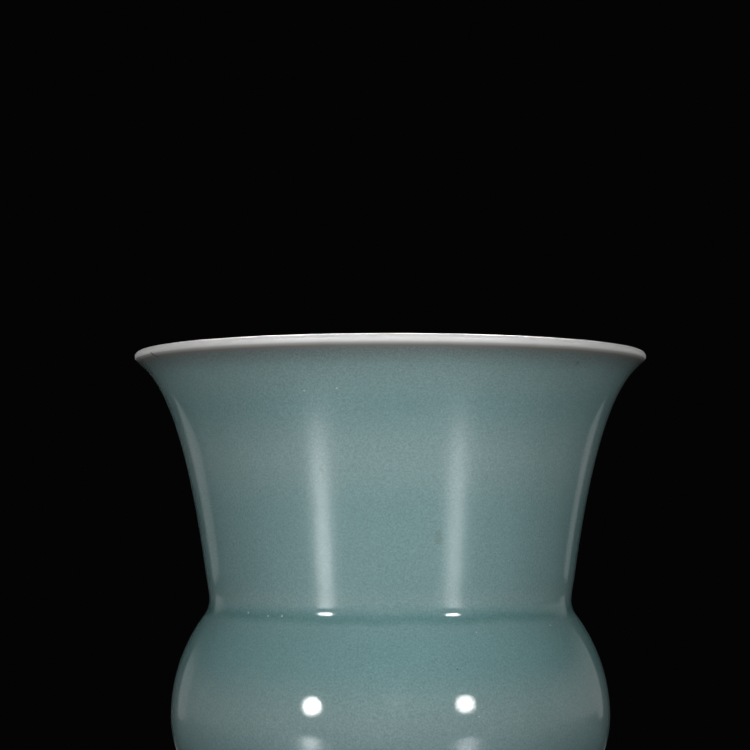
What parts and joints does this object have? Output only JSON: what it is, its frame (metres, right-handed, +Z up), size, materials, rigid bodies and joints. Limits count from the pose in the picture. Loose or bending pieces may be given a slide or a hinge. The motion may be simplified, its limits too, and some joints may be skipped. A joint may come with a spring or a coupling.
{
  "type": "leys jar",
  "caption": "Small turned porcelain leys jar with a flared trumpet neck, round belly, splayed foot ring, pale celadon glaze and a white lip.",
  "frame": {"origin": "centre of the foot ring, on the surface that the jar stands on", "axes": "+Z up along the axis of the wheel, from the foot to the mouth; X and Y level"},
  "size_m": [0.086, 0.086, 0.0824],
  "materials": {
    "porcelain": "unglazed, fine matt biscuit",
    "slip": "fired slip in the luted joints, matt",
    "celadon": "pale bluish celadon, glossy with a fine orange peel",
    "celadon_inside": "thin pale celadon, glossy",
    "white_lip": "white porcelain under thin clear glaze, glossy"
  },
  "bodies": {
    "root": {"foot_ring": "porcelain", "foot_lute": "slip", "lower_belly": "porcelain", "belly_lute": "slip", "shoulder": "porcelain", "neck_lute": "slip", "trumpet_neck": "porcelain", "outer_glaze": "celadon", "inner_glaze": "celadon_inside", "lip_glaze": "white_lip", "base_glaze": "celadon"}
  },
  "joints": []
}
